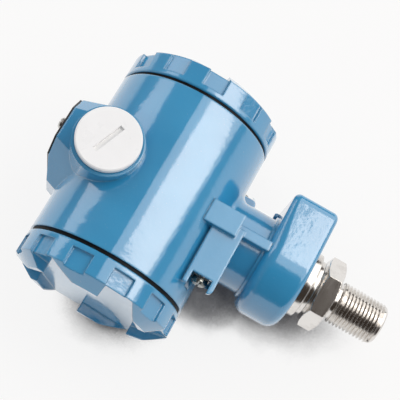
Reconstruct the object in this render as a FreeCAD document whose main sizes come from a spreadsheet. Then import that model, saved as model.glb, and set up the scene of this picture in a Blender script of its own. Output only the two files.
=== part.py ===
import FreeCAD, Part
import math
import os
import Sketcher

# A two-compartment pressure transmitter: a cast housing with a threaded cover at each end of its
# barrel, a conduit entry on each side, and a stainless process fitting below. +Z is up, +Y runs
# along the barrel to the rear cover, and the origin is the centre of the process thread's tip.

document = FreeCAD.newDocument("PressureTransmitter")

# Driving dimensions, in millimetres, degrees or counts.
sizes = {
    # Process fitting, from its tip upwards
    "thread_length": 23.4,
    "thread_tip_radius": 10.3,
    "thread_top_radius": 10.7,
    "tip_chamfer": 1.5,
    "port_radius": 3.5,
    "port_depth": 20,
    "port_neck_radius": 2,
    "undercut_length": 3.3,
    "undercut_radius": 9,
    "hex_across_flats": 32,
    "hex_height": 8.8,
    "hex_chamfer_radius": 15.7,
    "hex_chamfer_height": 1.6,
    "hex_turn": 13,
    "groove_height": 0.9,
    "groove_radius": 12.4,
    "small_ring_radius": 14,
    "small_ring_height": 2.7,
    "large_ring_radius": 16.5,
    "large_ring_height": 4.4,
    "spigot_radius": 12.9,
    "spigot_height": 13.5,
    "spigot_clearance": 0.1,
    "cup_radius": 10.4,
    "cup_depth": 9.5,
    # Pressure sensor
    "capsule_radius": 9.5,
    "capsule_height": 5.5,
    "capsule_neck_radius": 7,
    "capsule_neck_height": 2.5,
    "sensor_seal_radius": 8.9,
    "sensor_seal_width": 1.6,
    "sensor_seal_thickness": 1.4,
    "retainer_height": 2.6,
    "retainer_bore_radius": 7.3,
    "lead_radius": 2.6,
    "lead_offset": 4,
    "lead_drop": 19,
    "lead_passage_radius": 3.6,
    # Sensor housing below the neck
    "drum_radius": 27,
    "drum_rear": 30.5,
    "drum_height": 23,
    "drum_corner_radius": 5,
    "drum_front_round": 6,
    "drum_rear_round": 3,
    "drum_cavity_depth": 16.5,
    "neck_radius": 20,
    "collar_radius": 21.5,
    "collar_height": 1.2,
    "rib_width": 4.8,
    "rib_reach": 25,
    # Barrel
    "barrel_height": 126,
    "barrel_radius": 40,
    "barrel_length": 85.4,
    "compartment_wall": 6.5,
    "compartment_radius": "=barrel_radius - compartment_wall",
    "thread_wall": 4,
    "cover_thread_radius": "=barrel_radius - thread_wall",
    "cover_thread_depth": 13,
    "partition_front": 7.5,
    "partition_thickness": 4,
    # Screw covers
    "seal_gap": 1.8,
    "seal_outer_radius": "=barrel_radius - 1",
    "seal_width": 2.4,
    "cover_radius": "=barrel_radius",
    "rim_height": 11.1,
    "rim_chamfer": 0.5,
    "cover_thread_clearance": 0.08,
    "skirt_length": 11,
    "cover_cavity_radius": "=compartment_radius - 1",
    "cover_wall": 4.5,
    "pocket_count": 12,
    "pocket_angle": 15.2,
    "pocket_depth": 1.5,
    "pocket_start": 2.7,
    "pocket_phase": 22.9,
    "lug_count": 6,
    "lug_height": 4.8,
    "lug_angle": 40,
    "lug_ridge_radius": "=cover_radius - 8",
    "lug_inner_radius": "=cover_radius - 11.6",
    "front_cover_phase": -7.6,
    "rear_cover_phase": 10.2,
    # Conduit entries and their plugs
    "entry_height": 25.7,
    "entry_stand": 2.2,
    "entry_reach": "=barrel_radius + entry_stand",
    "boss_radius": 16.6,
    "entry_thread_radius": 9.25,
    "entry_thread_depth": 14,
    "entry_bore_radius": 6.8,
    "plug_head_radius": 15,
    "plug_head_height": 3,
    "plug_head_round": 0.6,
    "plug_thread_length": 10,
    "plug_clearance": 0.08,
    "plug_bore_radius": 6,
    "coin_slot_length": 16,
    "coin_slot_width": 2.3,
    "coin_slot_depth": 1.5,
    "coin_slot_turn": 70,
    "washer_height": 0.8,
    "washer_radius": 14.6,
    # Top block and its plate
    "block_top": 49.2,
    "block_base": 22,
    "block_half_width": 25,
    "block_front": 18.6,
    "block_rear": 19.7,
    "block_nose": 7.5,
    "block_shoulder": 4.2,
    "block_corner": 8,
    "block_side_flare": 4,
    "block_end_flare": 10.5,
    "block_rear_flare": 9.5,
    "ramp_start": 11.4,
    "ramp_drop": 3.5,
    "block_edge_round": 0.8,
    "neck_junction_round": 4,
    "plate_thickness": 0.8,
    "plate_margin": 0.4,
    "plate_nose": 16.4,
    "plate_screw_spacing": 41,
    "plate_screw_offset": 3.6,
    # Outside ground terminals
    "ground_block_reach": 30,
    "ground_block_width": 11.2,
    "ground_block_top": 27.5,
    "ground_block_bottom": 44,
    "channel_reach": 27,
    "channel_inner": 12,
    "channel_end": 34.2,
    "channel_top": 32.5,
    "channel_bottom": 47.2,
    "channel_mouth": 6.2,
    "channel_wall": 2.4,
    "channel_depth": 7,
    "channel_slant": 5.8,
    "channel_round": 2.2,
    # Terminal block and electronics
    "terminal_width": 46,
    "terminal_height": 20,
    "terminal_depth": 15,
    "terminal_low": 18,
    "terminal_count": 3,
    "terminal_pitch": 13,
    "terminal_recess": 4,
    "ear_thickness": 3,
    "board_radius": 29,
    "board_thickness": 1.6,
    "board_gap": 12,
    "component_offset": 9,
    "chip_width": 13,
    "chip_height": 2,
    "coil_radius": 5,
    "coil_height": 6,
    "capacitor_radius": 4,
    "capacitor_height": 9,
    "connector_width": 9,
    "connector_depth": 6.5,
    "connector_height": 6,
    "standoff_radius": 3,
    "standoff_circle": 23,
    "feedthrough_radius": 5,
    "feedthrough_flange_radius": 6.5,
    "feedthrough_flange_height": 1.5,
    "feedthrough_height": 15,
    "pin_radius": 0.6,
    "pin_reach": 5,
    "pin_circle": 2.6,
    "pad_radius": 4.5,
    "pad_height": 3,
    "inner_ground_drop": 25,
    # Screws
    "screw_radius": 1.5,
    "screw_head_radius": 2.9,
    "screw_head_height": 1.9,
    "screw_length": 6,
    "lock_head_radius": 1.9,
    "lock_head_height": 2,
    "lock_screw_across": -8,
    "lock_screw_along": 25.4,
    "ground_screw_radius": 2,
    "ground_head_radius": 3.8,
    "ground_head_height": 2.8,
    "ground_screw_length": 8,
    "ground_clamp_width": 8.4,
    "ground_clamp_thickness": 1,
    "slot_width": 0.8,
    "slot_depth": 0.9,
    "screw_clearance": 0.05,
    "plate_hole_clearance": 0.25,
}

sheet = document.addObject("Spreadsheet::Sheet", "Sizes")
for row, (alias, value) in enumerate(sizes.items(), 1):
    sheet.set(f"A{row}", alias)
    sheet.set(f"B{row}", str(value))
    sheet.setAlias(f"B{row}", alias)
document.recompute()

nodes = []


def sized(formula):
    # A formula names sizes by $alias, and is bound to the sheet's cells.
    return formula.replace("$", "Sizes.")


def bind(item, formulas):
    for path, formula in formulas.items():
        item.setExpression(path, sized(formula))
    return item


def place(item, x="0", y="0", z="0", axis=None, angle="0"):
    if axis:
        item.Placement = FreeCAD.Placement(FreeCAD.Vector(), FreeCAD.Rotation(FreeCAD.Vector(*axis), 1))
        bind(item, {"Placement.Rotation.Angle": angle})
    return bind(item, {"Placement.Base.x": x, "Placement.Base.y": y, "Placement.Base.z": z})


def cylinder(name, radius, height, **where):
    item = document.addObject("Part::Cylinder", name)
    bind(item, {"Radius": radius, "Height": height})
    return place(item, **where)


def cone(name, low_radius, high_radius, height, **where):
    item = document.addObject("Part::Cone", name)
    bind(item, {"Radius1": low_radius, "Radius2": high_radius, "Height": height})
    return place(item, **where)


def box(name, length, width, height, **where):
    item = document.addObject("Part::Box", name)
    bind(item, {"Length": length, "Width": width, "Height": height})
    return place(item, **where)


def centred_box(name, length, width, height, x="0", y="0", z="0"):
    # Centred on x and y, and standing on z.
    return box(name, length, width, height, x=f"{x} - ({length}) / 2", y=f"{y} - ({width}) / 2", z=z)


def fuse(name, shapes):
    item = document.addObject("Part::MultiFuse", name)
    item.Shapes = shapes
    item.Refine = True
    return item


def cut(name, base, tool):
    item = document.addObject("Part::Cut", name)
    item.Base = base
    item.Tool = tool
    item.Refine = True
    return item


def common(name, shapes):
    item = document.addObject("Part::MultiCommon", name)
    item.Shapes = shapes
    return item


def mirrored(name, source, normal):
    item = document.addObject("Part::Mirroring", name)
    item.Source = source
    item.Normal = FreeCAD.Vector(*normal)
    return item


def half_turned(name, source):
    # A copy turned by half a turn about the process axis.
    item = document.addObject("Part::Mirroring", name + "Across")
    item.Source = source
    item.Normal = FreeCAD.Vector(1, 0, 0)
    return mirrored(name, item, (0, 1, 0))


def together(name, shapes):
    item = document.addObject("Part::Compound", name)
    item.Links = shapes
    return item


# How near two places are to count as the same one.
same_place = 0.01


def filleted(name, base, radius_of):
    # radius_of gives an edge's radii at its start and end, or None to leave the edge sharp.
    document.recompute()
    item = document.addObject("Part::Fillet", name)
    item.Base = base
    chosen = []
    for number, edge in enumerate(base.Shape.Edges, 1):
        radii = radius_of(edge)
        if radii:
            chosen.append((number, *radii))
    item.Edges = chosen
    return item


def runs_along(edge, holds):
    # Whether holds is true of places all along the edge.
    first, last = edge.ParameterRange
    return all(holds(edge.valueAt(first + (last - first) * share)) for share in (0.1, 0.3, 0.5, 0.7, 0.9))


def body(name):
    return document.addObject("PartDesign::Body", name)


def origin_plane(owner, role):
    for feature in owner.Origin.OriginFeatures:
        if feature.Role == role:
            return feature
    raise ValueError(role)


def sketch(owner, name, role="XY_Plane", lift="0"):
    item = owner.newObject("Sketcher::SketchObject", name)
    item.AttachmentSupport = (origin_plane(owner, role), "")
    item.MapMode = "FlatFace"
    return bind(item, {"AttachmentOffset.Base.z": lift})


# Where a sketch's corners and rings are first drawn, before their formulas place them.
first_reach = 10
first_radius = 5


def outline(owner, name, points, role="XY_Plane", lift="0"):
    # A closed outline of straight lines whose corners are given by formulas.
    item = sketch(owner, name, role, lift)
    count = len(points)
    start = [FreeCAD.Vector(first_reach * math.cos(2 * math.pi * k / count),
                            first_reach * math.sin(2 * math.pi * k / count), 0) for k in range(count)]
    for k in range(count):
        item.addGeometry(Part.LineSegment(start[k], start[(k + 1) % count]), False)
    for k in range(count):
        item.addConstraint(Sketcher.Constraint("Coincident", k, 2, (k + 1) % count, 1))
    for k, (across, up) in enumerate(points):
        for kind, value, formula in (("DistanceX", start[k].x, across), ("DistanceY", start[k].y, up)):
            number = item.addConstraint(Sketcher.Constraint(kind, -1, 1, k, 1, value))
            bind(item, {f"Constraints[{number}]": formula})
    return item


def ring_sketch(owner, name, radius, role="XY_Plane", lift="0", across="0", up="0"):
    item = sketch(owner, name, role, lift)
    item.addGeometry(Part.Circle(FreeCAD.Vector(1, 1, 0), FreeCAD.Vector(0, 0, 1), first_radius), False)
    for constraint, formula in (
        (Sketcher.Constraint("DistanceX", -1, 1, 0, 3, 1), across),
        (Sketcher.Constraint("DistanceY", -1, 1, 0, 3, 1), up),
        (Sketcher.Constraint("Radius", 0, first_radius), radius),
    ):
        bind(item, {f"Constraints[{item.addConstraint(constraint)}]": formula})
    return item


def pad(owner, name, profile, length, reverse=False):
    item = owner.newObject("PartDesign::Pad", name)
    item.Profile = profile
    item.Reversed = reverse
    return bind(item, {"Length": length})


def pocket(owner, name, profile, length, reverse=False):
    item = owner.newObject("PartDesign::Pocket", name)
    item.Profile = profile
    item.Reversed = reverse
    return bind(item, {"Length": length})


def turned(owner, name, profile, kind="PartDesign::Revolution"):
    # Turned about the owner's own Z axis.
    item = owner.newObject(kind, name)
    item.Profile = profile
    item.ReferenceAxis = (origin_plane(owner, "Z_Axis"), [""])
    item.Angle = 360
    return item


def around(owner, name, feature, count):
    item = owner.newObject("PartDesign::PolarPattern", name)
    item.Originals = [feature]
    item.Axis = (origin_plane(owner, "Z_Axis"), [""])
    item.Angle = 360
    bind(item, {"Occurrences": count})
    owner.Tip = item
    return item


def node(item, name):
    item.Label = name
    nodes.append(item)
    return item


barrel_half = "$barrel_length / 2"
hex_low = "$thread_length + $undercut_length"
hex_high = f"{hex_low} + $hex_height"
small_ring_low = f"{hex_high} + $groove_height"
large_ring_low = f"{small_ring_low} + $small_ring_height"
drum_low = f"({large_ring_low} + $large_ring_height)"
drum_high = f"({drum_low} + $drum_height)"
cup_floor = f"({drum_low} + $spigot_height - $cup_depth)"
entry_axis = "($barrel_height + $entry_height)"
block_high = "($barrel_height + $block_top)"
partition_rear = "($partition_front + $partition_thickness)"
feedthrough_level = "($barrel_height + $feedthrough_height)"
capsule_top = f"({cup_floor} + $sensor_seal_thickness + $capsule_height + $capsule_neck_height)"
board_front = f"({partition_rear} + $board_gap)"
# The lead runs straight from the capsule to the middle of the board's connector.
lead_top = "($barrel_height - $lead_drop)"
lead_end = f"({board_front} - $connector_depth / 2)"
lead_tilt = f"atan(({lead_end} - $lead_offset) / ({lead_top} - {capsule_top}))"
lead_length = f"(({lead_top} - {capsule_top}) / cos({lead_tilt}))"
board_rear = f"({board_front} + $board_thickness)"
ear_front = "($partition_front - $ear_thickness)"
ground_screw_across = "(($channel_inner + $channel_reach) / 2)"
ground_screw_level = "($barrel_height - ($channel_top + $channel_bottom) / 2)"
ground_seat = "($channel_depth - $channel_end)"


def process_fitting():
    turned_part = body("FittingBody")
    profile = outline(turned_part, "FittingProfile", [
        ("$port_radius", "0"),
        ("$thread_tip_radius - $tip_chamfer", "0"),
        ("$thread_tip_radius", "$tip_chamfer"),
        ("$thread_top_radius", "$thread_length"),
        ("$undercut_radius", "$thread_length"),
        ("$undercut_radius", hex_low),
        ("$groove_radius", hex_low),
        ("$groove_radius", small_ring_low),
        ("$small_ring_radius", small_ring_low),
        ("$small_ring_radius", large_ring_low),
        ("$large_ring_radius", large_ring_low),
        ("$large_ring_radius", drum_low),
        ("$spigot_radius", drum_low),
        ("$spigot_radius", f"{drum_low} + $spigot_height"),
        ("$cup_radius", f"{drum_low} + $spigot_height"),
        ("$cup_radius", cup_floor),
        ("$port_neck_radius", cup_floor),
        ("$port_neck_radius", "$port_depth"),
        ("$port_radius", "$port_depth"),
    ], role="XZ_Plane")
    turned(turned_part, "FittingTurned", profile)
    # The spanner hexagon is chamfered at both ends.
    prism = document.addObject("Part::Prism", "HexBar")
    prism.Polygon = 6
    bind(prism, {"Circumradius": "$hex_across_flats / 2 / cos(30 deg)", "Height": "$hex_height"})
    place(prism, z=hex_low, axis=(0, 0, 1), angle="$hex_turn")
    spindle = body("HexSpindle")
    slope = "$hex_across_flats * 0.6"
    profile = outline(spindle, "HexChamferProfile", [
        ("$groove_radius - 1", hex_low),
        ("$hex_chamfer_radius", hex_low),
        (slope, f"{hex_low} + $hex_chamfer_height * 1.27"),
        (slope, f"{hex_high} - $hex_chamfer_height * 1.27"),
        ("$hex_chamfer_radius", hex_high),
        ("$groove_radius - 1", hex_high),
    ], role="XZ_Plane")
    turned(spindle, "HexSpindleTurned", profile)
    hexagon = common("HexNut", [prism, spindle])
    node(fuse("Fitting", [turned_part, hexagon]), "process_fitting")


def sensor():
    seat = body("SensorSealBody")
    inner = "$sensor_seal_radius - $sensor_seal_width"
    turned(seat, "SensorSealTurned", outline(seat, "SensorSealProfile", [
        (inner, cup_floor),
        ("$sensor_seal_radius", cup_floor),
        ("$sensor_seal_radius", f"{cup_floor} + $sensor_seal_thickness"),
        (inner, f"{cup_floor} + $sensor_seal_thickness"),
    ], role="XZ_Plane"))
    node(seat, "sensor_seal")
    capsule_low = f"{cup_floor} + $sensor_seal_thickness"
    shoulder = f"{capsule_low} + $capsule_height"
    capsule = body("CapsuleBody")
    pad(capsule, "CapsuleDisc", ring_sketch(capsule, "CapsuleOutline", "$capsule_radius", lift=capsule_low),
        "$capsule_height")
    ring = ring_sketch(capsule, "CapsuleNeckOutline", "$capsule_neck_radius", lift=shoulder)
    pad(capsule, "CapsuleNeck", ring, "$capsule_neck_height")
    node(capsule, "sensor_capsule")
    outer = cylinder("RetainerOuter", "$cup_radius - $spigot_clearance", "$retainer_height", z=shoulder)
    inner = cylinder("RetainerInner", "$retainer_bore_radius", "$retainer_height", z=shoulder)
    node(cut("Retainer", outer, inner), "sensor_retaining_ring")


def drum():
    # Straight sides and a flat rear, with a half-round front.
    shell = body("DrumBody")
    straight = outline(shell, "DrumRearOutline", [
        ("-$drum_radius", "0"),
        ("$drum_radius", "0"),
        ("$drum_radius", "$drum_rear"),
        ("-$drum_radius", "$drum_rear"),
    ], lift=drum_low)
    pad(shell, "DrumRear", straight, "$drum_height")
    rounded_front = ring_sketch(shell, "DrumFrontOutline", "$drum_radius", lift=drum_low)
    pad(shell, "DrumFront", rounded_front, "$drum_height")
    document.recompute()

    def corner(edge):
        upright = abs(edge.tangentAt(edge.FirstParameter).z) > 0.9
        if upright and edge.CenterOfMass.y > sizes["drum_radius"] / 2:
            return sizes["drum_corner_radius"], sizes["drum_corner_radius"]

    rounded = filleted("DrumCorners", shell, corner)
    document.recompute()
    rear_start = sizes["drum_rear"] - sizes["drum_corner_radius"] - same_place

    def radius_at(vertex):
        # The rim's rounding grows from the rear corners to the half-round front.
        share = min(max(vertex.Y / rear_start, 0), 1)
        return sizes["drum_front_round"] + share * (sizes["drum_rear_round"] - sizes["drum_front_round"])

    def rim(edge):
        if abs(edge.tangentAt(edge.FirstParameter).z) > 0.5:
            return None
        first, last = edge.firstVertex(True), edge.lastVertex(True)
        return radius_at(first), radius_at(last)

    return filleted("DrumRounded", rounded, rim)


def along_barrel(name, radius, start, end, x="0", z="$barrel_height"):
    # A cylinder parallel to the barrel, between two places along it.
    return cylinder(name, radius, f"({end}) - ({start})", x=x, y=start, z=z, axis=(1, 0, 0), angle="-90")


def across(name, radius, start, end):
    # A cylinder on the conduit entries' axis.
    return cylinder(name, radius, f"({end}) - ({start})", x=start, z=entry_axis, axis=(0, 1, 0), angle="90")


# Plain screws and the outside ground screws: sizes of the shank, the head and the length.
plain_screw = ("$screw_radius", "$screw_head_radius", "$screw_head_height", "$screw_length")
ground_screw = ("$ground_screw_radius", "$ground_head_radius", "$ground_head_height", "$ground_screw_length")
# The small screw on the drum that locks the housing against turning on the sensor.
lock_screw = ("$screw_radius", "$lock_head_radius", "$lock_head_height", "$screw_length")


def pan_screw(name, kind, x="0", y="0", z="0", axis=None, angle="0"):
    # Drawn with its head upwards and the head's seat at zero.
    shank_radius, head_radius, head_height, length = kind
    shank = cylinder(name + "Shank", shank_radius, length, z=f"-({length})")
    low = cylinder(name + "Head", head_radius, f"{head_height} * 0.6")
    crown = cone(name + "Crown", head_radius, f"{head_radius} * 0.75", f"{head_height} * 0.4",
                 z=f"{head_height} * 0.6")
    slot = centred_box(name + "Slot", f"{head_radius} * 2 + 1", "$slot_width", "$slot_depth",
                       z=f"{head_height} - $slot_depth")
    screw = cut(name + "Screw", fuse(name + "Blank", [shank, low, crown]), slot)
    return place(screw, x=x, y=y, z=z, axis=axis, angle=angle)


def polar(radius, angle):
    return f"({radius}) * cos({angle})", f"({radius}) * sin({angle})"


def cover(name, phase, side, turn):
    # Drawn with the flange's back face at zero, the rim upwards and the threaded skirt downwards.
    owner = body(name + "Body")
    skirt = "$cover_thread_radius - $cover_thread_clearance"
    top = "$rim_height + $lug_height"
    turned(owner, name + "Turned", outline(owner, name + "Profile", [
        ("0", "$rim_height - $cover_wall"),
        ("$cover_cavity_radius", "$rim_height - $cover_wall"),
        ("$cover_cavity_radius", "-$skirt_length"),
        (skirt, "-$skirt_length"),
        (skirt, "0"),
        ("$cover_radius - $rim_chamfer", "0"),
        ("$cover_radius", "$rim_chamfer"),
        ("$cover_radius", "$rim_height"),
        ("0", "$rim_height"),
    ], role="XZ_Plane"))
    start = f"{phase} * 1deg"
    end = f"({phase} + $lug_angle) * 1deg"
    lug = pad(owner, name + "Lug", outline(owner, name + "LugOutline", [
        polar("$lug_inner_radius", start),
        polar("$cover_radius + 8", start),
        polar("$cover_radius + 8", f"({phase} + $lug_angle / 2) * 1deg"),
        polar("$cover_radius + 8", end),
        polar("$cover_radius", end),
    ], lift="$rim_height"), "$lug_height")
    around(owner, name + "Lugs", lug, "$lug_count")
    turned(owner, name + "Cone", outline(owner, name + "ConeProfile", [
        ("$cover_radius", "$rim_height"),
        ("$lug_ridge_radius", top),
        ("$lug_ridge_radius", f"{top} + 1"),
        ("$cover_radius + 10", f"{top} + 1"),
        ("$cover_radius + 10", "$rim_height"),
    ], role="XZ_Plane"), "PartDesign::Groove")
    grip = f"{phase} + $pocket_phase"
    low = f"({grip} - $pocket_angle / 2) * 1deg"
    high = f"({grip} + $pocket_angle / 2) * 1deg"
    notch = pocket(owner, name + "Grip", outline(owner, name + "GripOutline", [
        polar("$cover_radius - $pocket_depth", low),
        polar("$cover_radius + 4", low),
        polar("$cover_radius + 4", high),
        polar("$cover_radius - $pocket_depth", high),
    ], lift="$pocket_start"), top, reverse=True)
    around(owner, name + "Grips", notch, "$pocket_count")
    place(owner, y=f"{side} * ({barrel_half} + $seal_gap)", z="$barrel_height", axis=(1, 0, 0), angle=turn)
    return owner


def covers():
    for name, phase, side, turn in (
        ("Front", "$front_cover_phase", "-1", "90"),
        ("Rear", "$rear_cover_phase", "1", "-90"),
    ):
        node(cover(name + "Cover", phase, side, turn), name.lower() + "_cover")
        face = f"{side} * {barrel_half}"
        outer = "$seal_outer_radius"
        ring = []
        for part, radius in (("Outer", outer), ("Inner", f"{outer} - $seal_width")):
            ring.append(cylinder(f"{name}Seal{part}", radius, "$seal_gap", y=face, z="$barrel_height",
                                 axis=(1, 0, 0), angle=turn))
        node(cut(name + "Seal", *ring), name.lower() + "_cover_seal")


def conduit_plug(name, side, turn):
    # Drawn with the head's back face at zero and the head upwards.
    owner = body(name + "PlugBody")
    shank = "$entry_thread_radius - $plug_clearance"
    turned(owner, name + "PlugTurned", outline(owner, name + "PlugProfile", [
        ("0", "0"),
        ("$plug_bore_radius", "0"),
        ("$plug_bore_radius", "-$plug_thread_length"),
        (shank, "-$plug_thread_length"),
        (shank, "0"),
        ("$plug_head_radius", "0"),
        ("$plug_head_radius", "$plug_head_height - $plug_head_round"),
        ("$plug_head_radius - $plug_head_round", "$plug_head_height"),
        ("0", "$plug_head_height"),
    ], role="XZ_Plane"))
    half_length = "$coin_slot_length / 2"
    half_width = "$coin_slot_width / 2"
    angle = f"{side} * $coin_slot_turn * 1deg"
    corners = []
    for along, aside in (("-", "-"), ("", "-"), ("", ""), ("-", "")):
        corners.append((
            f"{along}{half_length} * cos({angle}) - ({aside}{half_width}) * sin({angle})",
            f"{along}{half_length} * sin({angle}) + ({aside}{half_width}) * cos({angle})",
        ))
    pocket(owner, name + "CoinSlot", outline(owner, name + "SlotOutline", corners, lift="$plug_head_height"),
           "$coin_slot_depth")
    place(owner, x=f"{side} * ($entry_reach + $washer_height)", z=entry_axis, axis=(0, 1, 0), angle=turn)
    node(owner, name.lower() + "_conduit_plug")
    ring = []
    for part, radius in (("Outer", "$washer_radius"), ("Inner", "$entry_thread_radius")):
        ring.append(cylinder(f"{name}Washer{part}", radius, "$washer_height", x=f"{side} * $entry_reach",
                             z=entry_axis, axis=(0, 1, 0), angle=turn))
    node(cut(name + "Washer", *ring), name.lower() + "_plug_washer")


def block_outline(owner, name, grow, front, shoulder, rear, lift):
    # Seen from above: a narrow nose in front, wide shoulders and a chamfered rear.
    half = f"($block_half_width + {grow})"
    nose = f"($block_nose + {grow})"
    corner = f"($block_corner + {grow})"
    return outline(owner, name, [
        (f"-{half}", f"-({shoulder})"),
        (f"-{nose}", f"-({front})"),
        (nose, f"-({front})"),
        (half, f"-({shoulder})"),
        (half, f"{rear} - {corner}"),
        (f"{half} - {corner}", rear),
        (f"-{half} + {corner}", rear),
        (f"-{half}", f"{rear} - {corner}"),
    ], lift=lift)


def top_block():
    owner = body("TopBlockBody")
    low = block_outline(owner, "BlockBase", "$block_side_flare", "$block_front + $block_end_flare",
                        "$block_shoulder + $block_end_flare", "$block_rear + $block_rear_flare",
                        "$barrel_height + $block_base")
    high = block_outline(owner, "BlockTop", "0", "$block_front", "$block_shoulder", "$block_rear", block_high)
    loft = owner.newObject("PartDesign::AdditiveLoft", "BlockLoft")
    loft.Profile = low
    loft.Sections = [high]
    loft.Ruled = True
    # The top slopes down to the nose in front of the plate.
    ramp = pocket(owner, "BlockRamp", outline(owner, "RampOutline", [
        ("-$ramp_start", block_high),
        ("-$block_front * 2 + $ramp_start", f"{block_high} - 2 * $ramp_drop"),
        ("-$block_front * 2 + $ramp_start", f"{block_high} + 1"),
        ("-$ramp_start", f"{block_high} + 1"),
    ], role="YZ_Plane"), "$block_half_width * 3")
    ramp.Midplane = True
    document.recompute()
    top_level = sizes["barrel_height"] + sizes["block_top"]

    def top_edge(edge):
        if runs_along(edge, lambda spot: abs(spot.z - top_level) < same_place):
            return sizes["block_edge_round"], sizes["block_edge_round"]

    return filleted("TopBlockRounded", owner, top_edge)


def ground_casting():
    # On the +X side; the same casting stands on the other side, turned by half a turn.
    cube = box("GroundCube", "$ground_block_reach", "$ground_block_width",
               "$ground_block_bottom - $ground_block_top", y="-$ground_block_width / 2",
               z="$barrel_height - $ground_block_bottom")
    channel = body("GroundChannelBody")
    plan = outline(channel, "ChannelOutline", [
        ("$channel_inner", "0"),
        ("$channel_inner", "-$channel_end + $channel_slant"),
        ("$channel_reach - $channel_wall", "-$channel_end"),
        ("$channel_reach", "-$channel_end"),
        ("$channel_reach", "0"),
    ], lift="$barrel_height - $channel_bottom")
    pad(channel, "ChannelBar", plan, "$channel_bottom - $channel_top")
    low = sizes["barrel_height"] - sizes["channel_bottom"]

    def soft_end(edge):
        middle = edge.CenterOfMass
        if abs(middle.z - low) < same_place and middle.y < -sizes["channel_end"] + sizes["channel_depth"]:
            return sizes["channel_round"], sizes["channel_round"]

    channel = filleted("GroundChannel", channel, soft_end)
    rib = box("NeckRib", "$rib_reach", "$rib_width",
              f"$barrel_height - $ground_block_bottom - {drum_high} + 1",
              y="-$rib_width / 2", z=f"{drum_high} - 1")
    return fuse("GroundCasting", [cube, channel, rib])


def ground_cuts():
    height = "$channel_bottom - $channel_top - 2 * $channel_wall"
    low = "$barrel_height - $channel_bottom + $channel_wall"
    slot = box("GroundHollow", "$channel_reach - $channel_inner - 2 * $channel_wall", "$channel_depth",
               height, x="$channel_inner + $channel_wall", y="-$channel_end", z=low)
    mouth = box("GroundMouth", "$channel_reach", "$channel_mouth", height,
                x="$channel_inner + $channel_wall", y="-$channel_end", z=low)
    hole = along_barrel("GroundHole", "$ground_screw_radius + $screw_clearance", ground_seat,
                        f"{ground_seat} + $ground_screw_length + 1",
                        x=ground_screw_across, z=ground_screw_level)
    return fuse("GroundCuts", [slot, mouth, hole])


def barrel_on_neck():
    blank = along_barrel("BarrelBlank", "$barrel_radius", f"-{barrel_half}", barrel_half)
    neck = cylinder("Neck", "$neck_radius", f"$barrel_height - {drum_high}", z=drum_high)

    def junction(edge):
        level = sizes["barrel_height"]
        if runs_along(edge, lambda spot: abs(math.hypot(spot.x, spot.y) - sizes["neck_radius"]) < same_place
                      and abs(math.hypot(spot.x, spot.z - level) - sizes["barrel_radius"]) < same_place):
            return sizes["neck_junction_round"], sizes["neck_junction_round"]

    return filleted("BarrelOnNeck", fuse("BarrelAndNeck", [blank, neck]), junction)


def housing():
    pieces = [
        barrel_on_neck(),
        across("EntryBosses", "$boss_radius", "-$entry_reach", "$entry_reach"),
        cylinder("NeckCollar", "$collar_radius", "$collar_height", z=drum_high),
        top_block(),
        drum(),
    ]
    casting = ground_casting()
    pieces += [casting, half_turned("GroundCasting", casting)]
    outside = fuse("HousingOutside", pieces)
    inner_ground_level = "$barrel_height - $inner_ground_drop"
    inner_pad = along_barrel("InnerGroundPad", "$pad_radius", "$partition_front - $pad_height",
                             "$partition_front", z=inner_ground_level)
    thread_hole = "$screw_radius + $screw_clearance"
    openings = ground_cuts()
    cuts = [
        along_barrel("FrontChamber", "$compartment_radius", f"-{barrel_half}", "$partition_front"),
        along_barrel("RearChamber", "$compartment_radius", partition_rear, barrel_half),
        along_barrel("FrontThread", "$cover_thread_radius", f"-{barrel_half}",
                     f"-{barrel_half} + $cover_thread_depth"),
        along_barrel("RearThread", "$cover_thread_radius", f"{barrel_half} - $cover_thread_depth",
                     barrel_half),
        along_barrel("FeedthroughHole", "$feedthrough_radius + $screw_clearance", "$partition_front",
                     partition_rear, z=feedthrough_level),
        across("EntryThreadRight", "$entry_thread_radius", "$entry_reach - $entry_thread_depth",
               "$entry_reach"),
        across("EntryThreadLeft", "$entry_thread_radius", "-$entry_reach",
               "-$entry_reach + $entry_thread_depth"),
        across("EntryBore", "$entry_bore_radius", "-$entry_reach", "$entry_reach"),
        cylinder("SensorBore", "$spigot_radius + $spigot_clearance", "$drum_cavity_depth", z=drum_low),
        cylinder("LeadPassage", "$lead_passage_radius", lead_length, y="$lead_offset", z=capsule_top,
                 axis=(1, 0, 0), angle=f"-{lead_tilt}"),
        openings,
        half_turned("GroundCuts", openings),
    ]
    for side, x in plate_screw_places():
        cuts.append(cylinder(f"PlateScrewHole{side}", thread_hole, "$screw_length", x=x,
                             y="$plate_screw_offset", z=f"{block_high} - $screw_length"))
    hollow = fuse("HousingHollow", [cut("HousingShell", outside, fuse("HousingCuts", cuts)), inner_pad])
    blind = f"{ear_front} + $screw_length"
    holes = [along_barrel("InnerGroundHole", thread_hole, "$partition_front - $pad_height",
                          "$partition_front - $pad_height + $screw_length", z=inner_ground_level)]
    for side, x in terminal_ear_places():
        holes.append(along_barrel(f"EarThread{side}", thread_hole, "$partition_front", blind, x=x,
                                  z="$barrel_height - $terminal_low + $terminal_height / 2"))
    for number, x, up in standoff_places():
        holes.append(along_barrel(f"StandoffThread{number}", thread_hole,
                                  f"{partition_rear} - $ear_thickness", partition_rear,
                                  x=x, z=f"$barrel_height + {up}"))
    holes.append(cylinder("LockScrewHole", thread_hole, "$screw_length", x="$lock_screw_across",
                          y="$lock_screw_along", z=f"{drum_high} - $screw_length"))
    node(cut("Housing", hollow, fuse("HousingHoles", holes)), "housing")


def plate_screw_places():
    half = "$plate_screw_spacing / 2"
    return [("Right", half), ("Left", f"-{half}")]


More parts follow.
